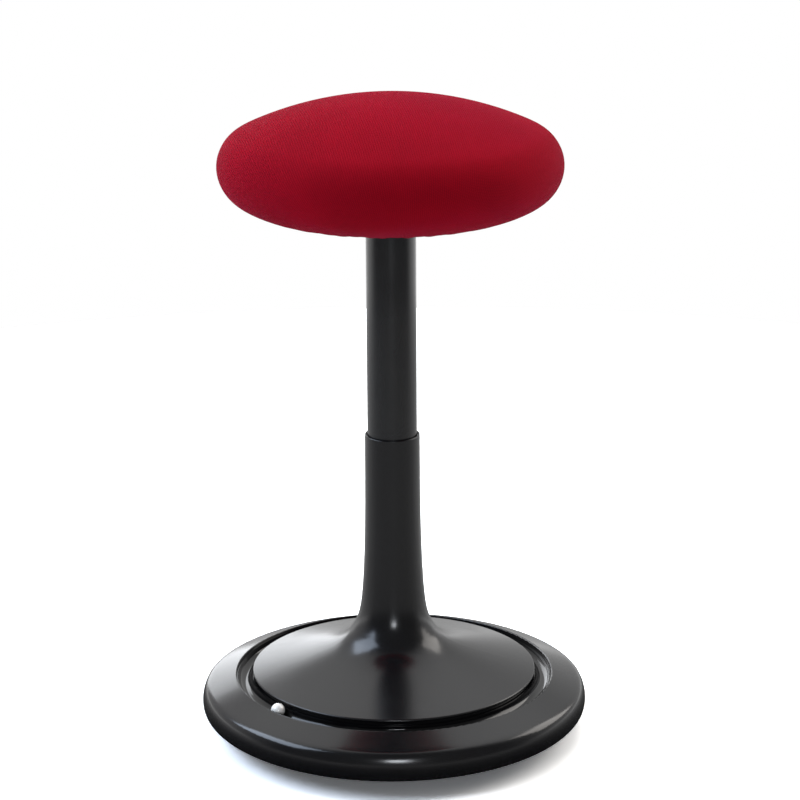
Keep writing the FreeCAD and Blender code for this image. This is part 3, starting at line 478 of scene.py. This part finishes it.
# Buffer, seal, clip, washer and nut: a rubber stop and a rubber ring on the rod, and its fixings of
# spring steel and plated steel. The lever's pin is plated too.
for node in ("buffer", "piston_seal"):
    dress(node, sole_rubber)
spring_steel = turned("spring_steel", (0.20, 0.20, 0.21), (0.14, 0.13, 0.13), 0.3, 0.44, 0.0003, 0.000008,
                      Metallic=1.0)
dress("rod_clip", spring_steel)
for node in ("rod_washer", "piston_nut", "lever_pin"):
    dress(node, zinc)

# Column tube: a drawn steel tube in satin black, with the faintest lengthwise draw lines and a
# dry polish where it runs in the bushes.
black_tube, tree, surface, here = finish_of("black_tube", (0.011, 0.011, 0.012), 0.24, IOR=1.48)
skin = place_group(tree, grain, Scale=800.0, Smooth=0.20, Rough=0.27, Base=(0.011, 0.011, 0.012, 1),
                   Worn=(0.015, 0.015, 0.015, 1))
stretch = add(tree, "Mapping")
stretch.inputs["Scale"].default_value = (1, 1, 0.02)
draw = add(tree, "TexNoise", Scale=900.0, Detail=2.0)
join(tree, (here, skin.inputs["Position"]), (here, stretch.inputs["Vector"]),
     (stretch.outputs[0], draw.inputs["Vector"]))
colour_by(tree, skin, surface)
draw_share, draw_depth = 0.5, 0.000008
raise_bump(tree, surface, sums(tree, "MULTIPLY_ADD", skin.outputs["Height"], draw_share, draw.outputs[0]),
           draw_depth)
dress("seat_tube", black_tube)
dress("gas_cylinder", black_tube)

# Head of the column: a die-cast aluminium plug and flange, left as cast, with a clevis in which the
# steel release lever turns. The lever ends in a moulded grip.
cast_alloy = moulding("cast_alloy", (0.34, 0.34, 0.35), (0.27, 0.27, 0.28), 0.38, 0.55, 420.0, 0.00006,
                      Metallic=0.9)
dress("seat_hub", cast_alloy)
dress("release_lever", plate_steel)
dress("lever_grip", black_moulding)

# Seat shell and trim: black plastic mouldings with a fine spark texture. The shell carries the
# foam, and the trim disc hides the drawn-in edge of the cover.
dress("seat_shell", black_moulding)
dress("underside_cover", black_moulding)

# Cushion cover: one piece of crimson stretch twill, pulled tight over the foam and gathered in
# between the foam and the shell, with no seam on its top or sides.
def arc(centre, radius, start, end, steps):
    """Points of an arc in a section, from one angle to another, in degrees."""
    turn = [math.radians(start + (end - start) * step / steps) for step in range(steps + 1)]
    return [Vector((centre[0] + radius * math.cos(angle), centre[1] + radius * math.sin(angle)))
            for angle in turn]


# Half of the cushion's section, as radius and height: the crown, the shoulder, the side, and in under
# the seat to the middle.
crown_centre, crown_radius = (0, 0.3083), 0.348
crown_edge = (0.1507, 0.6220)
shoulder_centre, shoulder_radius = (0.1353, 0.590), 0.0355
side_centre, side_radius = (0.1308, 0.590), 0.040
under_centre, under_radius = (0.0958, 0.6507), 0.110
drawn_in_radius, underside = 0.088, 0.5407
crown_end = math.degrees(math.atan2(crown_edge[1] - crown_centre[1], crown_edge[0]))
shoulder_start = math.degrees(math.atan2(crown_edge[1] - shoulder_centre[1],
                                         crown_edge[0] - shoulder_centre[0]))
section = (arc(crown_centre, crown_radius, 90, crown_end, 40)
           + arc(shoulder_centre, shoulder_radius, shoulder_start, 0, 24)[1:]
           + arc(side_centre, side_radius, 0, -60, 16)[1:] + arc(under_centre, under_radius, -60, -90, 12)[1:]
           + [Vector((drawn_in_radius * (1 - step / 16), underside)) for step in range(1, 17)])
run = [0.0]
for before, after in zip(section, section[1:]):
    run.append(run[-1] + (after - before).length)


def along(length):
    """The point of the section at a length along it, and the section's outward direction there."""
    length = min(max(length, 0.0), run[-1] - 1e-9)
    index = max(step for step in range(len(run) - 1) if run[step] <= length)
    share = (length - run[index]) / (run[index + 1] - run[index])
    step = section[index + 1] - section[index]
    return section[index].lerp(section[index + 1], share), Vector((-step.y, step.x)).normalized()


def drawn_skin(name, inset, rings):
    """A skin over the cushion, moved in by an inset. Its square faces lie in rings round the crown, down to
    the middle of the underside. The map "cloth" holds each point's place on the flat cloth."""
    mesh = bpy.data.meshes.new(name)
    skin = bmesh.new()
    grid = {}
    for across in range(-rings, rings + 1):
        for up in range(-rings, rings + 1):
            ring = max(abs(across), abs(up))
            if ring == 0:
                spin = 0.0
            elif abs(across) >= abs(up):
                spin = math.pi / 4 * up / across + (math.pi if across < 0 else 0)
            else:
                spin = math.pi / 2 - math.pi / 4 * across / up + (math.pi if up < 0 else 0)
            length = run[-1] * ring / rings
            point, out = along(length)
            point = point - out * inset
            corner = skin.verts.new((point.x * math.cos(spin), point.x * math.sin(spin), point.y))
            grid[across, up] = (corner, (length * math.cos(spin), length * math.sin(spin)))
    flat = skin.loops.layers.uv.new("cloth")
    for across in range(-rings, rings):
        for up in range(-rings, rings):
            corners = [grid[across, up], grid[across + 1, up], grid[across + 1, up + 1], grid[across, up + 1]]
            face = skin.faces.new([corner[0] for corner in corners])
            face.smooth = True
            for loop, corner in zip(face.loops, corners):
                loop[flat].uv = corner[1]
    skin.to_mesh(mesh)
    skin.free()
    return mesh


slack = 0.002
cover = plain("cushion_cover", drawn_skin("cushion_cover", slack, rings=48))
rest = [(corner.co.copy(), corner.normal.copy()) for corner in cover.data.vertices]
# The cover is blown up and settles, held where it is drawn in under the seat. The foam stops it
# from sinking in, and its own weave stops it from slipping and rising far.
settling = 20
held_radius, held_height = 0.1, 0.56
most_slip, least_rise, most_rise = 0.0015, 0.0019, 0.0026
held = cover.vertex_groups.new(name="held")
held.add([corner.index for corner in cover.data.vertices
          if math.hypot(corner.co.x, corner.co.y) < held_radius and corner.co.z < held_height],
         1.0, "REPLACE")
cloth = cover.modifiers.new("inflate", "CLOTH")
cloth.settings.use_pressure = True
cloth.settings.uniform_pressure_force = 4
cloth.settings.vertex_group_mass = "held"
cloth.settings.quality = 5
cloth.settings.effector_weights.gravity = 0
cloth.point_cache.frame_start = 1
cloth.point_cache.frame_end = settling
for step in range(1, settling + 1):
    scene.frame_set(step)
blown = bpy.data.meshes.new_from_object(cover.evaluated_get(bpy.context.evaluated_depsgraph_get()))
cover.modifiers.clear()
for corner, (start, out) in zip(blown.vertices, rest):
    move = corner.co - start
    rise = move.dot(out)
    slip = move - out * rise
    rise = min(max(rise, least_rise), most_rise)
    corner.co = start + slip.normalized() * min(slip.length, most_slip) + out * rise
cover.data = blown
scene.frame_set(1)

# Small gathers where the cloth is drawn in under the seat, fading out up the side.
gather_height, gather_middle, gather_width = 0.0011, 0.118, 0.024
gather_top, gather_inside = 0.575, 0.095
for corner in cover.data.vertices:
    reach = math.hypot(corner.co.x, corner.co.y)
    if corner.co.z < gather_top and reach > gather_inside:
        share = max(0.0, 1 - abs(reach - gather_middle) / gather_width)
        spin = math.atan2(corner.co.y, corner.co.x)
        fold = math.sin(46 * spin + 1.7 * math.sin(5 * spin)) * math.sin(19 * spin + 0.6)
        corner.co.z += gather_height * share * share * (0.6 + fold)

cloth_thickness = 0.0016
smooth = cover.modifiers.new("smooth", "SUBSURF")
smooth.levels = smooth.render_levels = 1
thick = cover.modifiers.new("thick", "SOLIDIFY")
thick.thickness = cloth_thickness
thick.offset = -1
finished = bpy.data.meshes.new_from_object(cover.evaluated_get(bpy.context.evaluated_depsgraph_get()))
cover.modifiers.clear()
cover.data = finished

weave, enter, leave = group("twill_weave", [
    ("Cloth", "Vector", None), ("Pitch", "Float", 0.0007), ("Deep", "Color", (0.2, 0.0, 0.01, 1)),
    ("Bright", "Color", (0.4, 0.01, 0.04, 1)),
], [("Height", "Float"), ("Color", "Color"), ("Roughness", "Float")])
place = add(weave, "SeparateXYZ")
wander = add(weave, "TexNoise", Scale=420.0, Detail=2.0)
blotch = add(weave, "TexNoise", Scale=9.0, Detail=3.0)
join(weave, (enter.outputs["Cloth"], place.inputs[0]), (enter.outputs["Cloth"], wander.inputs["Vector"]),
     (enter.outputs["Cloth"], blotch.inputs["Vector"]))
warp = sums(weave, "DIVIDE", place.outputs["X"], enter.outputs["Pitch"])
weft = sums(weave, "DIVIDE", place.outputs["Y"], enter.outputs["Pitch"])
warp = sums(weave, "MULTIPLY_ADD", wander.outputs[0], 0.25, warp)
order = sums(weave, "ADD", sums(weave, "FLOOR", warp), sums(weave, "FLOOR", weft))
over = sums(weave, "LESS_THAN", sums(weave, "FLOORED_MODULO", order, 3.0), 1.5)
warp_yarn = sums(weave, "SINE", sums(weave, "MULTIPLY", sums(weave, "FRACT", warp), math.pi))
weft_yarn = sums(weave, "SINE", sums(weave, "MULTIPLY", sums(weave, "FRACT", weft), math.pi))
# The colour follows the yarn's height. There is painted shade in the grooves between the yarns and on the
# lower weft, a bright colour on the crests, and a little random blotching.
yarn = add(weave, "Mix", data_type="FLOAT")
join(weave, (over, yarn.inputs[0]), (sums(weave, "MULTIPLY", weft_yarn, 0.55), yarn.inputs[2]),
     (warp_yarn, yarn.inputs[3]))
shade = add(weave, "Mix", data_type="RGBA")
share = sums(weave, "MULTIPLY_ADD", fade(weave, blotch.outputs[0], 0.3, 0.7), 0.1,
             sums(weave, "MULTIPLY", yarn.outputs[0], 0.9))
join(weave, (share, shade.inputs[0]), (enter.outputs["Deep"], shade.inputs[6]),
     (enter.outputs["Bright"], shade.inputs[7]), (shade.outputs[2], leave.inputs["Color"]),
     (yarn.outputs[0], leave.inputs["Height"]),
     (fade(weave, yarn.outputs[0], 0.0, 1.0, 0.95, 0.8), leave.inputs["Roughness"]))

red_fabric, tree, surface, _ = finish_of(
    "red_fabric", (0.34, 0.004, 0.012), 0.9, Specular_IOR_Level=0.04, Sheen_Weight=0.07, Sheen_Roughness=0.35,
    Sheen_Tint=(1.0, 0.06, 0.5, 1))
cut = add(tree, "UVMap", uv_map="cloth")
lay = add(tree, "Mapping", Rotation=(0.0, 0.0, 0.62))
# The darker colour is painted shade between the yarns, and Bright is the colour of the yarn crests.
twill = place_group(tree, weave, Pitch=0.00108, Deep=(0.08, 0.0006, 0.003, 1),
                    Bright=(0.46, 0.003, 0.016, 1))
join(tree, (cut.outputs[0], lay.inputs["Vector"]), (lay.outputs[0], twill.inputs["Cloth"]))
colour_by(tree, twill, surface)
yarn_relief = 0.0003
raise_bump(tree, surface, twill.outputs["Height"], yarn_relief)
cover.data.materials.clear()
cover.data.materials.append(red_fabric)
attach(cover, "column")
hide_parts("seat_cover")

# Foam: a cold-moulded cushion of pale open-cell foam that fills the cover, hollow underneath where
# it sits on the shell.
def spun(name, outline, segments, material):
    """A closed body turned round the column's axis from an outline that starts and ends on the axis."""
    mesh = bpy.data.meshes.new(name)
    skin = bmesh.new()
    first = skin.verts.new((0, 0, outline[0][1]))
    last = skin.verts.new((0, 0, outline[-1][1]))
    turns = [2 * math.pi * k / segments for k in range(segments)]
    hoops = [[skin.verts.new((x * math.cos(turn), x * math.sin(turn), z)) for turn in turns]
             for x, z in outline[1:-1]]
    for k in range(segments):
        after = (k + 1) % segments
        skin.faces.new((first, hoops[0][k], hoops[0][after]))
        skin.faces.new((last, hoops[-1][after], hoops[-1][k]))
        for high, low in zip(hoops, hoops[1:]):
            skin.faces.new((high[k], low[k], low[after], high[after]))
    for face in skin.faces:
        face.smooth = True
    skin.to_mesh(mesh)
    skin.free()
    return plain(name, mesh, material)


foam_cells, tree, surface, here = finish_of("foam_cells", (0.60, 0.57, 0.50), 0.95)
cells = add(tree, "TexVoronoi", Scale=900.0)
skin = place_group(tree, grain, Scale=500.0, Smooth=0.88, Rough=1.0, Base=(0.62, 0.59, 0.52, 1),
                   Worn=(0.50, 0.46, 0.38, 1))
join(tree, (here, cells.inputs["Vector"]), (here, skin.inputs["Position"]))
colour_by(tree, skin, surface)
cell_depth = 0.0006
raise_bump(tree, surface, cells.outputs["Distance"], cell_depth)
foam_inset, foam_bottom = 0.0034, 0.5443
shell_hollow, hub_hollow = 0.1004, 0.0454
steps, foam_share = 60, 0.92
outside = []
for step in range(steps + 1):
    point, out = along(run[-1] * foam_share * step / steps)
    place = point - out * foam_inset
    outside.append((max(0.0, place.x), max(place.y, foam_bottom)))
inside = [(shell_hollow, foam_bottom), (shell_hollow, 0.5510), (hub_hollow, 0.5510), (hub_hollow, 0.5700),
          (0.0, 0.5700)]
foam = spun("cushion_foam", outside + inside, segments=96, material=foam_cells)
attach(foam, "column")
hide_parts("seat_foam")
